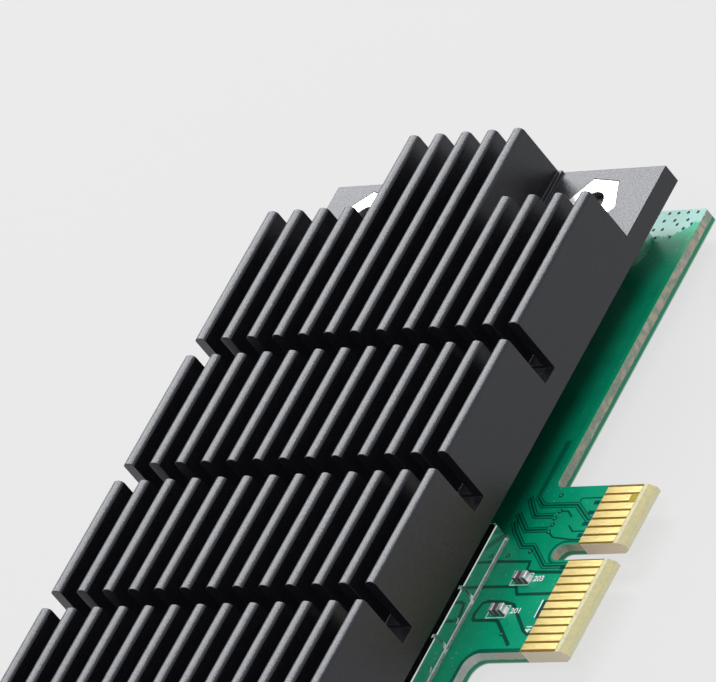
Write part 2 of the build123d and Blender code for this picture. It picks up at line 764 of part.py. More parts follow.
circuit_board.part.label = "circuit_board"
front_contacts.part.label = "front_contacts"
back_contacts.part.label = "back_contacts"
heatsink.part.label = "heatsink"
heatsink_standoffs.part.label = "heatsink_standoffs"
heatsink_screws.part.label = "heatsink_screws"
heatsink_pad.part.label = "heatsink_pad"
shield_frame.part.label = "shield_frame"
shield_cover.part.label = "shield_cover"
radio_chip.part.label = "radio_chip"
chip_pad.part.label = "chip_pad"
front_end_chips.part.label = "front_end_chips"
reference_crystal.part.label = "reference_crystal"
power_inductor.part.label = "power_inductor"
regulator_chip.part.label = "regulator_chip"
memory_chip.part.label = "memory_chip"
ferrite_beads.part.label = "ferrite_beads"
capacitors.part.label = "capacitors"
resistors.part.label = "resistors"
bracket.part.label = "bracket"
bracket_screws.part.label = "bracket_screws"
jack_insulators.part.label = "jack_insulators"
jack_pins.part.label = "jack_pins"

for piece in [
    circuit_board, front_contacts, back_contacts, heatsink, heatsink_standoffs, heatsink_screws,
    heatsink_pad, shield_frame, shield_cover, radio_chip, chip_pad, front_end_chips,
    reference_crystal, power_inductor, regulator_chip, memory_chip, ferrite_beads, capacitors,
    resistors, bracket, bracket_screws, jack_insulators, jack_pins,
] + jacks:
    export_step(piece.part, f"parts/{piece.part.label}.step")
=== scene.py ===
import math
import bmesh
import bpy
from mathutils import Matrix, Vector


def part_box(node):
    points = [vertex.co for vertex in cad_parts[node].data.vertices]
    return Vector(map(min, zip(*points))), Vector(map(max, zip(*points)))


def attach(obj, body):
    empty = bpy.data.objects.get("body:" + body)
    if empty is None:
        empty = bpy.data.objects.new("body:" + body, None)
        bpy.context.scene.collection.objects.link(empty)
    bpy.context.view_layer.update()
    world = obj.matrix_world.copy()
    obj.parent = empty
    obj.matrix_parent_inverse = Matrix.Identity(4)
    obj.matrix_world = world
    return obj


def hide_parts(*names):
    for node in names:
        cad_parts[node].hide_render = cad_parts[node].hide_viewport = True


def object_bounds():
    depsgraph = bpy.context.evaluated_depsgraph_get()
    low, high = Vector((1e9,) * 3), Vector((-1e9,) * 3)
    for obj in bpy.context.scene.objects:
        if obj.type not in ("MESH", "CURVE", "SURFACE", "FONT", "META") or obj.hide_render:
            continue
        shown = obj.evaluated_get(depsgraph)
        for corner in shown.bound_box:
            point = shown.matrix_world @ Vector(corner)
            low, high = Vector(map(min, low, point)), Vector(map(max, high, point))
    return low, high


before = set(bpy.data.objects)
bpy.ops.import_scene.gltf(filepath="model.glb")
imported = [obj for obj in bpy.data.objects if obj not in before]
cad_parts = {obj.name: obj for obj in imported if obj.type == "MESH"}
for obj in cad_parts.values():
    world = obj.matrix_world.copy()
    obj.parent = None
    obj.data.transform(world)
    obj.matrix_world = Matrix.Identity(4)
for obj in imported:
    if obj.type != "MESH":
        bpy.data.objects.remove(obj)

# Lengths are in millimetres, apart from the studio's, and mm turns them into metres
cadLow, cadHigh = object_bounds()
mm = 0.001
body = "root"


# Colours are given as they look on a screen, 0 to 255, and turned into linear light
def paint(red, green, blue):
    linear = []
    for level in (red, green, blue):
        share = level / 255
        linear.append(share / 12.92 if share <= 0.04045 else ((share + 0.055) / 1.055) ** 2.4)
    return (*linear, 1.0)


# A socket that takes part in Python expressions
class Wire:
    def __init__(self, net, socket):
        self.net = net
        self.socket = socket

    def maths(self, operation, first, second):
        return self.net.add("ShaderNodeMath", {"operation": operation}, {0: first, 1: second})

    def __add__(self, other):
        return self.maths("ADD", self, other)

    def __radd__(self, other):
        return self.maths("ADD", other, self)

    def __sub__(self, other):
        return self.maths("SUBTRACT", self, other)

    def __rsub__(self, other):
        return self.maths("SUBTRACT", other, self)

    def __mul__(self, other):
        return self.maths("MULTIPLY", self, other)

    def __rmul__(self, other):
        return self.maths("MULTIPLY", other, self)

    def __gt__(self, other):
        return self.maths("GREATER_THAN", self, other)

    def __lt__(self, other):
        return self.maths("LESS_THAN", self, other)


# One material, or the world, built node by node
class Finish:
    def __init__(self, name, kind=bpy.data.materials):
        self.holder = kind.new(name)
        self.holder.use_nodes = True
        self.tree = self.holder.node_tree
        self.tree.nodes.clear()

    def add(self, kind, settings, values, result=0):
        node = self.tree.nodes.new(kind)
        for key, value in settings.items():
            setattr(node, key, value)
        for key, value in values.items():
            if isinstance(value, Wire):
                self.tree.links.new(value.socket, node.inputs[key])
            else:
                node.inputs[key].default_value = value
        return Wire(self, node.outputs[result]) if node.outputs else None

    def place(self):
        return self.add("ShaderNodeTexCoord", {}, {}, "Object")

    # The three coordinates in millimetres
    def axes(self):
        spot = self.place()
        scaled = self.add("ShaderNodeVectorMath", {"operation": "SCALE"}, {0: spot, "Scale": 1 / mm})
        return [self.add("ShaderNodeSeparateXYZ", {}, {0: scaled}, axis) for axis in "XYZ"]

    # How far the surface faces along one axis
    def facing(self, axis):
        normal = self.add("ShaderNodeTexCoord", {}, {}, "Normal")
        return self.add("ShaderNodeSeparateXYZ", {}, {0: normal}, axis)

    # Noise in cells per millimetre, which can differ along the three axes
    def noise(self, cells, detail):
        stretch = cells if isinstance(cells, tuple) else (cells,) * 3
        spot = self.add(
            "ShaderNodeVectorMath",
            {"operation": "MULTIPLY"},
            {0: self.place(), 1: tuple(c / mm for c in stretch)},
        )
        return self.add("ShaderNodeTexNoise", {}, {"Vector": spot, "Scale": 1.0, "Detail": detail})

    def mix(self, share, first, second):
        return self.add("ShaderNodeMix", {"data_type": "RGBA"}, {0: share, 6: first, 7: second}, 2)

    # A value that runs through one range, carried over to another
    def spread(self, value, given, wanted=(0.0, 1.0)):
        return self.add(
            "ShaderNodeMapRange",
            {"clamp": True},
            {0: value, 1: given[0], 2: given[1], 3: wanted[0], 4: wanted[1]},
        )

    def bump(self, height, depth, strength=1.0):
        return self.add(
            "ShaderNodeBump", {}, {"Height": height, "Distance": depth * mm, "Strength": strength}
        )

    # 1 for rays that show in the picture as they are: seen straight, mirrored or let through
    def shownRays(self):
        kinds = ("Is Camera Ray", "Is Glossy Ray", "Is Transmission Ray")
        seen, mirrored, through = [self.add("ShaderNodeLightPath", {}, {}, kind) for kind in kinds]
        return seen + mirrored + through

    def done(self, **sockets):
        values = {key.replace("_", " "): value for key, value in sockets.items()}
        shader = self.add("ShaderNodeBsdfPrincipled", {}, values)
        self.add("ShaderNodeOutputMaterial", {}, {"Surface": shader})
        return self.holder


# Finishes. A noise is given as cells per millimetre and detail, a range as two of its values

mask = {
    "rough": 0.42,
    "shine": 0.16,
    "cloud": (1.4, 2.0),
    "wave": (1.6, 4.0),
    "waveDepth": 0.006,
}

laminate = {
    # Solder mask
    "mask": paint(0, 166, 124),
    "maskDeep": paint(0, 150, 111),
    "maskLit": paint(8, 166, 118),
    "cloud": (0.3, 4.0),
    "cloudRange": (0.35, 0.7),
    "litBelowY": 13.25,
    "litFromX": 8.6,
    "speck": (3.2, 1.0),
    "speckRange": (0.7, 0.76),
    "speckShare": 0.4,
    # Its painted reflection at the far end, a pale zone
    "paintedReflectionTint": paint(122, 176, 166),
    "paleFromX": 39.8,
    "paleBendY": 15.6,
    "paleBend": 0.7,
    "paleEndY": 23.0,
    "paleRough": 0.2,
    "border": (1.9, 4.0),
    "borderReach": 1.8,
    # Uncovered laminate round the contacts
    "cream": paint(224, 219, 182),
    # Painted shade: the cream darkened on the bevel
    "paintedShadeBevelCream": paint(199, 189, 138),
    "weaveGrey": paint(150, 158, 146),
    # Painted shade: the laminate's golden olive darkened to brown for the narrow gaps
    "paintedShadeOlive": paint(126, 98, 22),
    "oliveGold": paint(176, 156, 58),
    "rust": paint(150, 86, 40),
    "maskEndY": 5.75,
    "rustEndY": 5.5,
    "stripEndY": 1.3,
    "bevelEndY": 0.8,
    "shortX": 6.5,
    "shortHalf": 0.5,
    "shortEndY": 2.2,
    "weave": (2.4, 3.0),
    "weaveRange": (0.4, 0.65),
    "weaveShare": 0.3,
    "bareRough": 0.5,
    # The sawn edge and the sides of the tongue
    "edgeTan": paint(208, 186, 160),
    "edgePink": paint(216, 186, 176),
    "edgeGrey": paint(150, 158, 146),
    "edgePale": paint(196, 204, 200),
    "edgeTeal": paint(62, 150, 116),
    "edgeMint": paint(176, 216, 198),
    "sidePink": paint(248, 232, 212),
    "sideCream": paint(248, 243, 206),
    "tongueSideY": 5.6,
    "nearSideX": -10.5,
    "bundle": ((0.62, 0.62, 0.5), 2.5),
    "greyRange": (0.36, 0.5),
    "pinkRange": (0.52, 0.66),
    "paleRange": (0.35, 0.55),
    "paleShares": (0.25, 1.0),
    "speckle": (5.0, 2.0),
    "speckleRange": (0.35, 0.65),
    "speckleShare": 0.35,
    "seep": (1.2, 2.0),
    "seepReach": 0.24,
    "tealBelow": 1.0,
    "mintBelow": 1.44,
    # A face counts as flat or as an outer one from this square of its direction on
    "facingLimit": 0.5,
}


def maskWave(net):
    return net.bump(net.noise(*mask["wave"]), mask["waveDepth"])


# Solder mask, deeper in places, brighter along the edge beyond the tongue, with pale specks
def maskedFace(net, x, y, pale):
    look = laminate
    cloud = net.spread(net.noise(*look["cloud"]), look["cloudRange"])
    green = net.mix(cloud, look["mask"], look["maskDeep"])
    lit = (y < look["litBelowY"]) * (x > look["litFromX"])
    green = net.mix(lit, green, look["maskLit"])
    specks = net.spread(net.noise(*look["speck"]), look["speckRange"], (0.0, look["speckShare"]))
    green = net.mix(specks, green, look["edgeMint"])
    # Painted reflection: the pale zone at the far end is mixed over the mask
    return net.mix(pale, green, look["paintedReflectionTint"])


# Painted reflection in the mask at the far end, a pale zone with a ragged border
def paintedReflectionZone(net, x, y):
    look = laminate
    ragged = look["borderReach"] * net.noise(*look["border"]) - look["borderReach"] / 2
    bend = (look["paleBendY"] - y) * (y < look["paleBendY"]) * look["paleBend"]
    return (x + ragged > look["paleFromX"] + bend) * (y < look["paleEndY"])


# Laminate between the contacts, beyond the short one and on the strip to the tongue's end. Painted
# shade darkens it to brown in the narrow gaps between the contacts
def uncoveredFace(net, x, y):
    look = laminate
    weave = net.spread(net.noise(*look["weave"]), look["weaveRange"], (0.0, look["weaveShare"]))
    # On the bevel the cream is darkened by painted shade
    cream = net.mix(y < look["bevelEndY"], look["cream"], look["paintedShadeBevelCream"])
    cream = net.mix(weave, cream, look["weaveGrey"])
    gap = net.mix(y > look["rustEndY"], look["paintedShadeOlive"], look["rust"])
    fromX, toX = look["shortX"] - look["shortHalf"], look["shortX"] + look["shortHalf"]
    beyondShort = (y < look["shortEndY"]) * (x > fromX) * (x < toX)
    gap = net.mix(beyondShort, gap, look["oliveGold"])
    return net.mix(y < look["stripEndY"], gap, cream)


# Glass bundles above and the green of the lower mask below, plainer round the tongue
def sawnEdge(net, x, y, z):
    look = laminate
    bundles = net.noise(*look["bundle"])
    fibre = net.mix(net.spread(bundles, look["greyRange"]), look["edgeTan"], look["edgeGrey"])
    fibre = net.mix(net.spread(bundles, look["pinkRange"]), fibre, look["edgePink"])
    speckleShares = (0.0, look["speckleShare"])
    speckle = net.spread(net.noise(*look["speckle"]), look["speckleRange"], speckleShares)
    fibre = net.mix(speckle, fibre, look["edgeMint"])
    nearSide = x < look["nearSideX"]
    paler = nearSide * net.spread(bundles, look["paleRange"], look["paleShares"])
    fibre = net.mix(paler, fibre, look["edgePale"])
    seep = z + look["seepReach"] * net.noise(*look["seep"])
    edge = net.mix(seep < look["seepReach"] / 2 - look["tealBelow"], fibre, look["edgeTeal"])
    edge = net.mix(z < -look["mintBelow"], edge, look["edgeMint"])
    alongY = net.facing("Y")
    outer = (alongY * alongY) > look["facingLimit"]
    tongueSide = net.mix(outer, look["sidePink"], look["sideCream"])
    tongueSide = net.mix(speckle, tongueSide, look["cream"])
    return net.mix(y < look["tongueSideY"], edge, tongueSide)


def boardFinish():
    net = Finish("green_laminate")
    look = laminate
    x, y, z = net.axes()
    upwards = net.facing("Z")
    flat = (upwards * upwards) > look["facingLimit"]
    bare = y < look["maskEndY"]
    pale = paintedReflectionZone(net, x, y)
    face = net.mix(bare, maskedFace(net, x, y, pale), uncoveredFace(net, x, y))
    colour = net.mix(flat, sawnEdge(net, x, y, z), face)
    covered = flat * (1 - bare)
    rough = look["bareRough"] - (look["bareRough"] - mask["rough"]) * covered
    rough = rough - (mask["rough"] - look["paleRough"]) * (covered * pale)
    return net.done(
        Base_Color=colour,
        Roughness=rough,
        Normal=maskWave(net),
        Specular_IOR_Level=mask["shine"],
    )


def maskFinish(name, colour, deeper):
    net = Finish(name)
    tone = net.mix(net.noise(*mask["cloud"]), colour, deeper)
    return net.done(
        Base_Color=tone,
        Roughness=mask["rough"],
        Normal=maskWave(net),
        Specular_IOR_Level=mask["shine"],
    )


anodised = {
    "light": paint(24, 24, 29),
    "dark": paint(15, 15, 18),
    "drawn": ((0.4, 12.0, 12.0), 3.0),
    "grain": (9.0, 3.0),
    "range": (0.3, 0.7),
    "rough": (0.24, 0.44),
    "drawnShare": 0.8,
    "depth": 0.02,
    "strength": 0.7,
    "shine": 0.62,
    "shineTint": paint(243, 246, 255),
}


# Black extrusion, its drawing lines along X under a fine grain
def anodisedFinish():
    net = Finish("black_anodised")
    look = anodised
    drawn, grain = net.noise(*look["drawn"]), net.noise(*look["grain"])
    relief = drawn * look["drawnShare"] + grain
    return net.done(
        Base_Color=net.mix(net.spread(drawn, look["range"]), look["dark"], look["light"]),
        Roughness=net.spread(grain, look["range"], look["rough"]),
        Normal=net.bump(relief, look["depth"], look["strength"]),
        Specular_IOR_Level=look["shine"],
        Specular_Tint=look["shineTint"],
    )


metal = {"detail": 4.0, "range": (0.3, 0.7), "gloss": (0.8, 3.0), "strength": 0.6}


def metalFinish(name, light, dark, rough, cells, depth):
    net = Finish(name)
    streaks = net.noise(cells, metal["detail"])
    return net.done(
        Base_Color=net.mix(net.spread(streaks, metal["range"]), light, dark),
        Roughness=net.spread(net.noise(*metal["gloss"]), metal["range"], rough),
        Metallic=1.0,
        Normal=net.bump(streaks, depth, metal["strength"]),
    )


contact = {
    "light": paint(226, 208, 146),
    "dark": paint(214, 194, 130),
    "rub": paint(176, 156, 120),
    "streak": ((3.0, 0.7, 3.0), 4.0),
    "rubs": ((9.0, 1.2, 4.0), 2.0),
    "rubRange": (0.58, 0.7),
    "rubShare": 0.4,
    "rough": (0.48, 0.58),
    "depth": 0.002,
}


# Gold contacts, with the faint grey rubs that a socket leaves
def contactFinish():
    net = Finish("hard_gold")
    look = contact
    streaks = net.noise(*look["streak"])
    tone = net.mix(net.spread(streaks, metal["range"]), look["light"], look["dark"])
    rubs = net.spread(net.noise(*look["rubs"]), look["rubRange"], (0.0, look["rubShare"]))
    return net.done(
        Base_Color=net.mix(rubs, tone, look["rub"]),
        Roughness=net.spread(streaks, metal["range"], look["rough"]),
        Metallic=1.0,
        Normal=net.bump(streaks, look["depth"], metal["strength"]),
    )


moulding = {"detail": 3.0, "range": (0.2, 0.8), "roughSwing": 0.06, "strength": 0.6}


def mouldedFinish(name, light, dark, rough, cells, depth):
    net = Finish(name)
    grain = net.noise(cells, moulding["detail"])
    roughs = (rough - moulding["roughSwing"], rough + moulding["roughSwing"])
    return net.done(
        Base_Color=net.mix(grain, light, dark),
        Roughness=net.spread(grain, moulding["range"], roughs),
        Normal=net.bump(grain, depth, moulding["strength"]),
    )


# Material name, colour and deeper colour
maskFinishes = {
    "trace": ("mask_over_copper", paint(0, 154, 115), paint(0, 142, 106)),
    "bed": ("mask_over_gap", paint(0, 82, 64), paint(0, 68, 55)),
    # Dark teal painted shadow where the mask ends at the contacts
    "patch": ("painted_shadow_at_contacts", paint(0, 84, 84), paint(0, 66, 70)),
    "rim": ("mask_at_key", paint(0, 104, 78), paint(0, 94, 72)),
    "viaRing": ("via_ring", paint(0, 70, 58), paint(0, 58, 50)),
    # A via's lighter centre is a painted highlight
    "viaPaintedHighlight": ("via_painted_highlight", paint(96, 176, 148), paint(70, 156, 128)),
}
# Material name, light and dark tone, range of roughness, cells of its streaks, depth of its relief
metalFinishes = {
    "shield": (
        "bright_tin", paint(232, 235, 234), paint(218, 222, 221), (0.06, 0.12), 0.7, 0.002,
    ),
    "rail": (
        "soldered_rail", paint(226, 230, 229), paint(206, 212, 210), (0.24, 0.34), 0.7, 0.001,
    ),
    "solder": (
        "bright_solder", paint(244, 242, 244), paint(214, 212, 216), (0.42, 0.56), 2.5, 0.006,
    ),
    "zinc": (
        "bright_zinc", paint(238, 238, 236), paint(222, 222, 220), (0.24, 0.34), 2.0, 0.002,
    ),
    "blackSteel": (
        "black_steel", paint(52, 52, 54), paint(36, 36, 38), (0.3, 0.42), 3.0, 0.006,
    ),
    "bracket": (
        "nickel_sheet",
        paint(206, 207, 205), paint(192, 194, 193), (0.26, 0.36), (3.0, 0.25, 3.0), 0.003,
    ),
    "jackGold": (
        "gold_brass", paint(240, 204, 118), paint(228, 188, 100), (0.2, 0.3), 1.5, 0.001,
    ),
    "screw": (
        "screw_zinc", paint(212, 211, 206), paint(188, 187, 182), (0.26, 0.38), 3.0, 0.006,
    ),
}
# Material name, light and dark tone, roughness, cells of its grain, depth of its relief
mouldedFinishes = {
    "endVia": ("end_via_holes", paint(10, 66, 60), paint(6, 52, 50), 0.85, 4.0, 0.002),
    "silk": ("white_print", paint(242, 246, 244), paint(230, 238, 235), 0.55, 5.0, 0.004),
    "chip": ("moulded_black", paint(34, 34, 36), paint(26, 26, 28), 0.55, 6.0, 0.008),
    "bead": ("bead_ferrite", paint(98, 88, 98), paint(72, 64, 76), 0.42, 7.0, 0.008),
    "ceramic": ("tan_ceramic", paint(176, 146, 110), paint(158, 128, 94), 0.4, 7.0, 0.006),
    "glaze": ("black_glaze", paint(24, 24, 26), paint(16, 16, 18), 0.25, 7.0, 0.004),
    "ferrite": ("dark_ferrite", paint(72, 72, 74), paint(56, 56, 58), 0.6, 5.0, 0.012),
    "pad": ("thermal_pad", paint(150, 156, 166), paint(132, 138, 150), 0.8, 2.0, 0.03),
    "white": ("white_insulator", paint(236, 236, 230), paint(224, 224, 218), 0.4, 3.0, 0.006),
}

finishes = {"board": boardFinish(), "anodised": anodisedFinish(), "gold": contactFinish()}
finishes.update({key: maskFinish(*look) for key, look in maskFinishes.items()})
finishes.update({key: metalFinish(*look) for key, look in metalFinishes.items()})
finishes.update({key: mouldedFinish(*look) for key, look in mouldedFinishes.items()})
print("finishes ready:", len(finishes))


# Common ways of making a piece

softening = {
    "merge": 0.002,
    "collapsed": 0.0002,
    "flatAngle": 1.0,
    "sharpAngle": 35.0,
    "segments": 2,
    "smoothAngle": 40.0,
    "finishedSmoothAngle": 50.0,
}


def settle(name, shape, materials, smoothAngle=softening["smoothAngle"]):
    mesh = bpy.data.meshes.new(name)
    for face in shape.faces:
        face.smooth = True
    shape.to_mesh(mesh)
    shape.free()
    mesh.set_sharp_from_angle(angle=math.radians(smoothAngle))
    for material in materials:
        mesh.materials.append(material)
    piece = bpy.data.objects.new(name, mesh)
    bpy.context.scene.collection.objects.link(piece)
    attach(piece, body)
    return piece


def breakEdges(shape, edges, width):
    bmesh.ops.bevel(
        shape,
        geom=edges,
        offset=width * mm,
        offset_type="OFFSET",
        segments=softening["segments"],
        profile=0.5,
        affect="EDGES",
        material=-1,
        clamp_overlap=True,
    )


# A copy of a node whose sharp edges are broken, which takes the node's place
def refine(nodeName, width, materials, sorter=None, reshape=None):
    shape = bmesh.new()
    shape.from_mesh(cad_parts[nodeName].data)
    bmesh.ops.remove_doubles(shape, verts=shape.verts, dist=softening["merge"] * mm)
    bmesh.ops.dissolve_limit(
        shape,
        angle_limit=math.radians(softening["flatAngle"]),
        verts=shape.verts,
        edges=shape.edges,
    )
    if reshape is not None:
        reshape(shape)
    if sorter is not None:
        for face in shape.faces:
            face.material_index = sorter(face)
    limit = math.radians(softening["sharpAngle"])
    sharp = [e for e in shape.edges if len(e.link_faces) == 2 and e.calc_face_angle() > limit]
    breakEdges(shape, sharp, width)
    # Where two broken edges meet, the face between them has no width left
    bmesh.ops.dissolve_degenerate(shape, edges=shape.edges, dist=softening["collapsed"] * mm)
    smoothAngle = softening["finishedSmoothAngle"]
    piece = settle(nodeName + "_finished", shape, materials, smoothAngle)
    weighted = piece.modifiers.new("even_faces", "WEIGHTED_NORMAL")
    weighted.keep_sharp = True
    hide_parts(nodeName)
    return piece


# A node that keeps its own shape
def dress(nodeName, material):
    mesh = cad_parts[nodeName].data
    mesh.materials.clear()
    mesh.materials.append(material)


# A drawn curve or text as a loose shape
def drawnShape(name, drawing):
    drawn = bpy.data.objects.new(name + "_drawn", drawing)
    bpy.context.scene.collection.objects.link(drawn)
    bpy.context.view_layer.update()
    evaluated = drawn.evaluated_get(bpy.context.evaluated_depsgraph_get())
    flat = bpy.data.meshes.new_from_object(evaluated)
    bpy.data.objects.remove(drawn)
    shape = bmesh.new()
    shape.from_mesh(flat)
    bpy.data.meshes.remove(flat)
    return shape


# Lines on the board, drawn as a curve and pressed thin
def flatLines(name, routes, width, height, finishName, closed=False):
    curve = bpy.data.curves.new(name + "_route", "CURVE")
    curve.dimensions = "3D"
    curve.bevel_depth = width / 2 * mm
    curve.bevel_resolution = 1
    curve.use_fill_caps = True
    for route in routes:
        line = curve.splines.new("POLY")
        line.points.add(len(route) - 1)
        line.use_cyclic_u = closed
        for point, (x, y) in zip(line.points, route):
            point.co = (x * mm, y * mm, 0, 1)
    shape = drawnShape(name, curve)
    bmesh.ops.scale(shape, vec=(1, 1, height / (width / 2)), verts=shape.verts)
    settle(name, shape, [finishes[finishName]])


def arc(centre, radius, start, end, count):
    turns = [math.radians(start + (end - start) * i / count) for i in range(count + 1)]
    return [(centre[0] + radius * math.cos(t), centre[1] + radius * math.sin(t)) for t in turns]


def block(shape, centre, size):
    there = Matrix.Translation([place * mm for place in centre])
    scaled = Matrix.Diagonal([*(length * mm for length in size), 1])
    return bmesh.ops.create_cube(shape, size=1, matrix=there @ scaled)["verts"]


# Heatsink and what holds it

heatsink = {"edge": 0.07, "standoffEdge": 0.08, "screwEdge": 0.08}

refine("heatsink", heatsink["edge"], [finishes["anodised"]])
refine("heatsink_standoffs", heatsink["standoffEdge"], [finishes["zinc"]])
refine("heatsink_screws", heatsink["screwEdge"], [finishes["blackSteel"]])
dress("heatsink_pad", finishes["pad"])
dress("chip_pad", finishes["pad"])
print("heatsink finished")


# Circuit board, and what shows through its solder mask

board = {"edge": 0.03, "contactEdge": 0.015}

refine("circuit_board", board["edge"], [finishes["board"]])
refine("front_contacts", board["contactEdge"], [finishes["gold"]])
refine("back_contacts", board["contactEdge"], [finishes["gold"]])

wiring = {
    "pairBed": 0.74,
    "pairOffset": 0.17,
    "traceWidth": 0.18,
    "singleWidth": 0.2,
    "powerWidth": 0.4,
    "patchWidth": 0.5,
    "bedHeight": 0.006,
    "patchHeight": 0.012,
    "traceHeight": 0.012,
}

# Each signal pair is two traces in a bed that the copper round them leaves free
pairRoutes = [
    [(14.0, 14.3), (6.9, 14.3), (5.9, 13.1), (5.85, 8.6), (3.95, 6.2), (3.95, 5.8)],
    [(7.0, 15.4), (5.95, 14.6), (4.6, 13.4), (4.6, 11.0)],
    [(5.0, 15.8), (4.15, 14.95), (2.85, 13.6), (2.9, 10.8)],
    [(4.0, 15.8), (2.8, 14.9), (0.9, 12.95), (0.9, 11.5), (-1.65, 8.7), (-1.65, 5.8)],
]
singleRoutes = [
    [(6.65, 5.8), (6.65, 8.5), (6.25, 8.5)],
    [(5.1, 10.45), (5.1, 9.4), (4.35, 8.5)],
    [(2.6, 10.5), (1.9, 9.6), (1.55, 7.0), (1.55, 5.8)],
    [(2.55, 5.8), (2.55, 7.4), (3.3, 8.3)],
]
# Gaps between the areas of copper that carry power
powerRoutes = [
    [(-0.8, 18.7), (-1.03, 10.8), (-2.15, 10.6), (-2.35, 9.7), (-2.45, 5.8)],
    [(-4.02, 15.8), (-4.06, 10.9), (-5.05, 10.2), (-5.05, 5.8)],
    [
        (-8.1, 14.2), (-7.3, 14.4), (-6.05, 14.1), (-5.8, 13.5), (-5.95, 11.4), (-6.3, 9.9),
        (-9.5, 6.8), (-9.95, 6.1), (-9.97, 5.8),
    ],
    [(-8.1, 14.2), (-8.17, 11.1), (-8.4, 10.7), (-11.3, 7.7)],
]
# Painted shadow: dark teal patches at the contacts' inner ends, where the mask ends
paintedShadowRoutes = [
    [(-5.85, 5.98), (-8.05, 5.98)],
    [(-1.9, 5.85), (-1.9, 6.45)],
    [(2.05, 5.85), (2.05, 6.45)],
    [(3.45, 5.85), (3.45, 6.65)],
    [(4.8, 5.85), (4.85, 6.7)],
    [(6.05, 5.85), (6.05, 6.6)],
]


# A route moved sideways by a distance, its corners mitred
def offsetRoute(route, distance):
    spots = [Vector(point) for point in route]
    runs = [(b - a).normalized() for a, b in zip(spots, spots[1:])]
    sides = [Vector((-run.y, run.x)) for run in runs]
    moved = []
    for i, spot in enumerate(spots):
        before, after = sides[max(i - 1, 0)], sides[min(i, len(sides) - 1)]
        middle = (before + after).normalized()
        moved.append(tuple(spot + middle * distance / middle.dot(before)))
    return moved


sideways = (-wiring["pairOffset"], wiring["pairOffset"])
pairTraces = [offsetRoute(route, side) for route in pairRoutes for side in sideways]
flatLines("pair_beds", pairRoutes, wiring["pairBed"], wiring["bedHeight"], "bed")
flatLines("pair_traces", pairTraces, wiring["traceWidth"], wiring["traceHeight"], "trace")
flatLines("single_traces", singleRoutes, wiring["singleWidth"], wiring["bedHeight"], "bed")
flatLines("power_gaps", powerRoutes, wiring["powerWidth"], wiring["bedHeight"], "bed")
flatLines("painted_contact_shadows", paintedShadowRoutes, wiring["patchWidth"], wiring["patchHeight"], "patch")

# Each kind of dot: its diameter, its height and its finish
vias = {
    "via_rings": (0.55, 0.0156, "viaRing"),
    # The lighter centres are painted highlights on the vias
    "via_painted_highlights": (0.26, 0.0216, "viaPaintedHighlight"),
    "end_vias": (0.4, 0.012, "endVia"),
}
viaShape = {"sides": 14, "topShare": 0.85}
signalVias = [
    (5.1, 10.45), (4.25, 10.65), (3.45, 10.5), (2.6, 10.5),
    (0.2, 11.5), (-0.2, 14.2), (7.1, 11.45), (-9.86, 9.41),
]
# Rows of stitching vias at the far end: each row's X and the Y of its vias
endRows = {
    42.75: (13.8, 15.05, 16.3, 17.5),
    41.8: (14.6, 16.3, 17.7),
    41.25: (13.8, 15.7),
    40.7: (14.6, 17.3, 18.5),
    39.65: (15.8, 17.7),
}
endVias = [(x, y) for x, row in endRows.items() for y in row]


def viaDots(name, places):
    diameter, height, finishName = vias[name]
    shape = bmesh.new()
    for x, y in places:
        bmesh.ops.create_cone(
            shape,
            cap_ends=True,
            segments=viaShape["sides"],
            radius1=diameter / 2 * mm,
            radius2=diameter / 2 * viaShape["topShare"] * mm,
            depth=height * mm,
            matrix=Matrix.Translation((x * mm, y * mm, height / 2 * mm)),
        )
    settle(name, shape, [finishes[finishName]])


viaDots("via_rings", signalVias)
viaDots("via_painted_highlights", signalVias)
viaDots("end_vias", endVias)
print("traces drawn")

# Darker bands inside the key notch and along the near shoulder, where the copper stops short
rim = {
    "keyWidth": 1.9,
    "keyDepth": 8.4,
    "inset": 0.38,
    "keyLine": 0.3,
    "tongueX": -12.15,
    "shoulderY": 12.35,
    "shoulderRadius": 1.6,
    "boardNearX": -57.0,
    "shoulderLine": 0.5,
    "startY": 5.85,
    "height": 0.006,
    "arcSteps": 12,
}


def keyRoute():
    centre = (0, rim["keyDepth"] - rim["keyWidth"] / 2)
    reach = rim["keyWidth"] / 2 + rim["inset"]
    bend = arc(centre, reach, 0, 180, rim["arcSteps"])
    return [(reach, rim["startY"])] + bend + [(-reach, rim["startY"])]


def shoulderRoute():
    half = rim["shoulderLine"] / 2
    radius = rim["shoulderRadius"]
    centre = (rim["tongueX"] - radius, rim["shoulderY"] - radius)
    bend = arc(centre, radius + half, 0, 90, rim["arcSteps"])
    start, end = (rim["tongueX"] + half, rim["startY"]), (rim["boardNearX"], rim["shoulderY"] + half)
    return [start] + bend + [end]


flatLines("key_rim_line", [keyRoute()], rim["keyLine"], rim["height"], "rim")
flatLines("shoulder_rim_line", [shoulderRoute()], rim["shoulderLine"], rim["height"], "rim")


# White print: frames round the two beads, a line beside the contacts and plain numbers

silk = {"line": 0.15, "height": 0.014, "bold": 0.022}
beadFrames = [
    [(-2.5, 11.85), (-2.5, 9.45), (-3.9, 9.45), (-3.9, 11.85)],
    [(-6.4, 12.65), (-6.4, 10.2), (-7.85, 10.2), (-7.85, 12.65)],
]
silkLines = [[(-5.8, 6.36), (-7.95, 6.3)]]
# What each number says, its low corner, its reach along and across it, and whether it is turned
numbers = {
    "number_by_far_bead": ("203", (-3.5, 9.1), (1.25, 0.68), True),
    "number_by_near_bead": ("201", (-7.38, 9.85), (1.22, 0.66), True),
    "number_by_contacts": ("41", (-9.75, 5.9), (0.75, 0.72), False),
}
flatLines("bead_frames", beadFrames, silk["line"], silk["height"], "silk", closed=True)
flatLines("print_lines", silkLines, silk["line"], silk["height"], "silk")


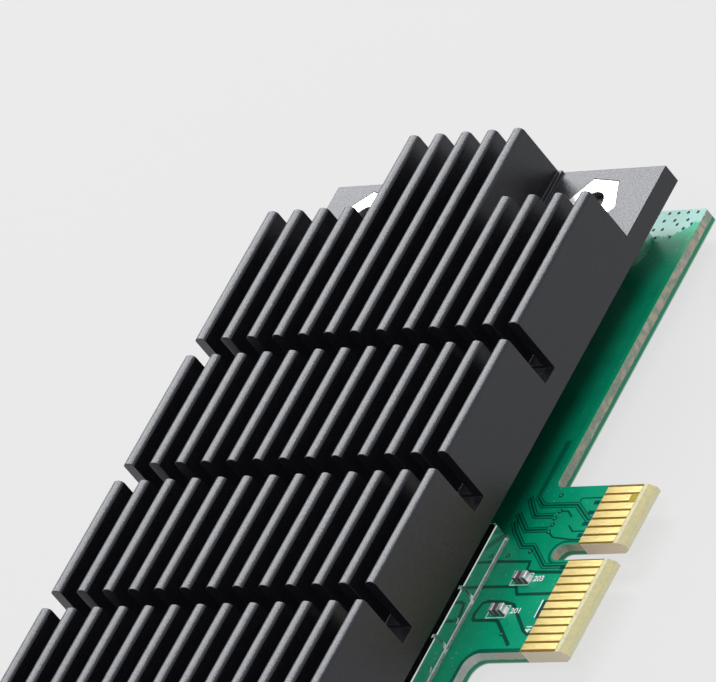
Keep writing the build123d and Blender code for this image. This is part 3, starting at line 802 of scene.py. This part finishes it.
# A text drawn at any size and brought to its reach
def numberMark(name, text, corner, reach, turned):
    drawing = bpy.data.curves.new(name + "_text", "FONT")
    drawing.body = text
    drawing.extrude = 0.5
    drawing.offset = silk["bold"]
    shape = drawnShape(name, drawing)
    low = [min(v.co[i] for v in shape.verts) for i in range(3)]
    high = [max(v.co[i] for v in shape.verts) for i in range(3)]
    bmesh.ops.translate(shape, vec=[-level for level in low], verts=shape.verts)
    wanted = (*reach, silk["height"])
    factors = [wanted[i] * mm / (high[i] - low[i]) for i in range(3)]
    bmesh.ops.scale(shape, vec=factors, verts=shape.verts)
    if turned:
        turn = Matrix.Rotation(math.radians(-90), 4, "Z")
        bmesh.ops.rotate(shape, cent=(0, 0, 0), matrix=turn, verts=shape.verts)
    bmesh.ops.translate(shape, vec=(corner[0] * mm, corner[1] * mm, 0), verts=shape.verts)
    bmesh.ops.remove_doubles(shape, verts=shape.verts, dist=softening["collapsed"] * mm)
    bmesh.ops.recalc_face_normals(shape, faces=shape.faces)
    settle(name, shape, [finishes["silk"]])


for name, look in numbers.items():
    numberMark(name, *look)
print("print laid down")


# Shield can

shield = {"coverEdge": 0.03, "frameEdge": 0.02}

refine("shield_cover", shield["coverEdge"], [finishes["shield"]])
refine("shield_frame", shield["frameEdge"], [finishes["rail"]])
print("shield finished")


# Small parts with plated ends: the two ends are solder bright, the middle is ceramic

smallParts = {"edge": 0.05, "proud": 0.02, "facingLimit": 0.5}


# A face is plated where it belongs to the end caps, which stand proud of the ceramic
def endSorter(nodeName):
    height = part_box(nodeName)[1].z
    proud = smallParts["proud"] * mm
    limit = smallParts["facingLimit"]

    def sorter(face):
        centre = face.calc_center_median()
        if abs(face.normal.z) > limit:
            return 1 if centre.z > height - proud or centre.z < proud else 0
        return 1 if abs(face.normal.y) > limit else 0

    return sorter


def refineTwoEnded(nodeName, middle):
    materials = [middle, finishes["solder"]]
    refine(nodeName, smallParts["edge"], materials, endSorter(nodeName))


solder = {
    "beads": ((-3.3, 10.25), (-7.2, 11.05)),
    "beadHalf": 0.8,
    "beadSize": 0.85,
    "reach": 0.2,
    "width": 0.8,
    "height": 0.5,
    "foot": 0.05,
    "capReach": 0.66,
    "proud": 0.012,
    "edge": 0.05,
}


# Solder slopes from each bead's end caps down to the board, and is drawn up over the near cap
def beadSolder():
    look = solder
    shape = bmesh.new()
    for x, y in look["beads"]:
        for side in (-1, 1):
            middle = y + side * (look["beadHalf"] + look["reach"] / 2)
            centre = (x, middle, look["height"] / 2)
            corners = block(shape, centre, (look["width"], look["reach"], look["height"]))
            outer = [v for v in corners if (v.co.y / mm - middle) * side > 0]
            upper = [v for v in outer if v.co.z > look["foot"] * mm]
            drop = (look["foot"] - look["height"]) * mm
            bmesh.ops.translate(shape, vec=(0, 0, drop), verts=upper)
    size = (look["beadSize"] / 2 + look["proud"]) * 2
    for x, y in look["beads"]:
        middle = y - look["beadHalf"] - look["proud"] + look["capReach"] / 2
        block(shape, (x, middle, size / 2), (size, look["capReach"], size))
    breakEdges(shape, shape.edges[:], look["edge"])
    settle("bead_solder", shape, [finishes["solder"]])


refineTwoEnded("ferrite_beads", finishes["bead"])
beadSolder()
refineTwoEnded("capacitors", finishes["ceramic"])
refineTwoEnded("resistors", finishes["glaze"])
for nodeName in ("radio_chip", "front_end_chips", "regulator_chip", "memory_chip"):
    dress(nodeName, finishes["chip"])
dress("reference_crystal", finishes["zinc"])
dress("power_inductor", finishes["ferrite"])
print("small parts finished")


# Bracket and antenna jacks

bracket = {"edge": 0.08, "screwEdge": 0.08, "jackEdge": 0.06}
# Where each jack's axis runs, its Y and Z
jacks = {"lower_jack": (27.6, 5.5), "upper_jack": (43.6, 5.5)}
thread = {
    "pitch": 0.7056,
    "radius": 3.175,
    "depth": 0.16,
    "start": -61.15,
    "end": -68.05,
    "barrelFrom": -60.6,
    "crestSlack": 0.05,
    "baseShare": 0.42,
    "steps": 30,
    "smoothAngle": 30.0,
}

refine("bracket", bracket["edge"], [finishes["bracket"]])
refine("bracket_screws", bracket["screwEdge"], [finishes["screw"]])


# The barrel is turned down to the thread's root
def turnDown(shape, y, z):
    axis = Matrix.Translation((0, -y * mm, -z * mm))
    rootShare = 1 - thread["depth"] / thread["radius"]
    crest = (thread["radius"] - thread["crestSlack"]) * mm
    barrel = [v for v in shape.verts if v.co.x < thread["barrelFrom"] * mm]
    outer = [v for v in barrel if math.hypot(v.co.y - y * mm, v.co.z - z * mm) > crest]
    bmesh.ops.scale(shape, vec=(1, rootShare, rootShare), space=axis, verts=outer)


# The ridge is a triangle spun along a helix
def threadRidge(name, y, z):
    look = thread
    shape = bmesh.new()
    half = look["pitch"] * look["baseShare"]
    spots = [
        (look["start"] - half, look["radius"] - look["depth"]),
        (look["start"], look["radius"]),
        (look["start"] + half, look["radius"] - look["depth"]),
    ]
    ring = [shape.verts.new((x * mm, y * mm, (z + radius) * mm)) for x, radius in spots]
    lines = [shape.edges.new((ring[i], ring[(i + 1) % 3])) for i in range(3)]
    steps = int((look["start"] - look["end"]) / look["pitch"] * look["steps"])
    bmesh.ops.spin(
        shape,
        geom=ring + lines,
        cent=(0, y * mm, z * mm),
        axis=(1, 0, 0),
        dvec=(-look["pitch"] / look["steps"] * mm, 0, 0),
        angle=math.radians(360 * steps / look["steps"]),
        steps=steps,
        use_merge=False,
    )
    bmesh.ops.holes_fill(shape, edges=[e for e in shape.edges if e.is_boundary], sides=3)
    bmesh.ops.recalc_face_normals(shape, faces=shape.faces)
    settle(name, shape, [finishes["jackGold"]], look["smoothAngle"])


for nodeName, (y, z) in jacks.items():
    refine(
        nodeName,
        bracket["jackEdge"],
        [finishes["jackGold"]],
        reshape=lambda shape: turnDown(shape, y, z),
    )
    threadRidge(nodeName + "_thread", y, z)
dress("jack_insulators", finishes["white"])
dress("jack_pins", finishes["jackGold"])
print("bracket end finished")


# Floor, light and camera

# The lamps hang round the spot called aim. Lengths here and in the lamps are in metres
studio = {
    "backdrop": paint(234, 234, 234),
    "floorLight": paint(206, 206, 206),
    "floorDark": paint(203, 203, 204),
    "cloth": (0.02, 2.0),
    "shadowShare": 0.15,
    "floorSize": 4.0,
    "ambient": 0.28,
    "aim": (0.0, 0.03, 0.005),
}
# Each softbox: where it hangs as seen from the card, how far, its size across and along Y, its level
lamps = {
    "overhead_softbox": {
        "towards": (0.4835, 0.2, 0.852),
        "distance": 0.7,
        "size": (0.22, 0.52),
        "radiance": 10.0,
    },
    "far_softbox": {
        "towards": (0.483, 0.696, 0.532),
        "distance": 0.8,
        "size": (0.36, 0.36),
        "radiance": 6.5,
    },
    "near_fill": {
        "towards": (-0.35, -0.45, 0.82),
        "distance": 1.0,
        "size": (0.4, 0.4),
        "radiance": 7.0,
    },
}


# It keeps a share of the card's shadow and otherwise shows the backdrop's colour
def floorPiece():
    shape = bmesh.new()
    half = studio["floorSize"] / 2
    bmesh.ops.create_grid(shape, x_segments=1, y_segments=1, size=half)
    bmesh.ops.translate(shape, vec=(0, 0, cadLow.z), verts=shape.verts)
    mesh = bpy.data.meshes.new("studio_floor")
    shape.to_mesh(mesh)
    shape.free()
    net = Finish("studio_floor")
    tone = net.mix(net.noise(*studio["cloth"]), studio["floorDark"], studio["floorLight"])
    matt = net.add("ShaderNodeBsdfDiffuse", {}, {"Color": tone})
    glow = net.add("ShaderNodeEmission", {}, {"Color": studio["backdrop"], "Strength": 1.0})
    share = net.shownRays() * (1 - studio["shadowShare"])
    surface = net.add("ShaderNodeMixShader", {}, {0: share, 1: matt, 2: glow})
    net.add("ShaderNodeOutputMaterial", {}, {"Surface": surface})
    mesh.materials.append(net.holder)
    floor = bpy.data.objects.new("studio_floor", mesh)
    bpy.context.scene.collection.objects.link(floor)


# Its power follows from how bright its face is, and its long side lies along Y
def softbox(name, towards, distance, size, radiance):
    data = bpy.data.lights.new(name, "AREA")
    data.shape = "RECTANGLE"
    data.size, data.size_y = size
    data.energy = radiance * math.pi * size[0] * size[1]
    lamp = bpy.data.objects.new(name, data)
    direction = Vector(towards).normalized()
    across = Vector((0, 1, 0)).cross(direction).normalized()
    along = direction.cross(across)
    lamp.location = Vector(studio["aim"]) + direction * distance
    lamp.rotation_mode = "QUATERNION"
    lamp.rotation_quaternion = Matrix((across, along, direction)).transposed().to_quaternion()
    bpy.context.scene.collection.objects.link(lamp)


def studioWorld():
    net = Finish("studio", bpy.data.worlds)
    level = net.spread(net.shownRays(), (0.0, 1.0), (studio["ambient"], 1.0))
    back = net.add("ShaderNodeBackground", {}, {"Color": studio["backdrop"], "Strength": level})
    net.add("ShaderNodeOutputWorld", {}, {"Surface": back})
    bpy.context.scene.world = net.holder


floorPiece()
studioWorld()
for name, lamp in lamps.items():
    softbox(name, **lamp)
print("studio lit")


photoView = {
    "place": (-464.32, -658.25, 542.17),
    "aim": (28.214, 50.939, 0.0),
    "roll": -40.42,
    "lens": 520.45,
    "sensor": 36.0,
    "clipStart": 50.0,
    "clipEnd": 20000.0,
}


def photoCamera():
    data = bpy.data.cameras.new("photo_camera")
    data.lens = photoView["lens"]
    data.sensor_width = photoView["sensor"]
    data.clip_start = photoView["clipStart"] * mm
    data.clip_end = photoView["clipEnd"] * mm
    camera = bpy.data.objects.new("photo_camera", data)
    place = Vector(photoView["place"]) * mm
    aim = Vector(photoView["aim"]) * mm
    level = (aim - place).to_track_quat("-Z", "Y")
    turn = Matrix.Rotation(math.radians(photoView["roll"]), 4, "Z").to_quaternion()
    camera.location = place
    camera.rotation_mode = "QUATERNION"
    camera.rotation_quaternion = level @ turn
    bpy.context.scene.collection.objects.link(camera)
    bpy.context.scene.camera = camera


photoCamera()
bpy.context.scene.view_settings.view_transform = "Standard"
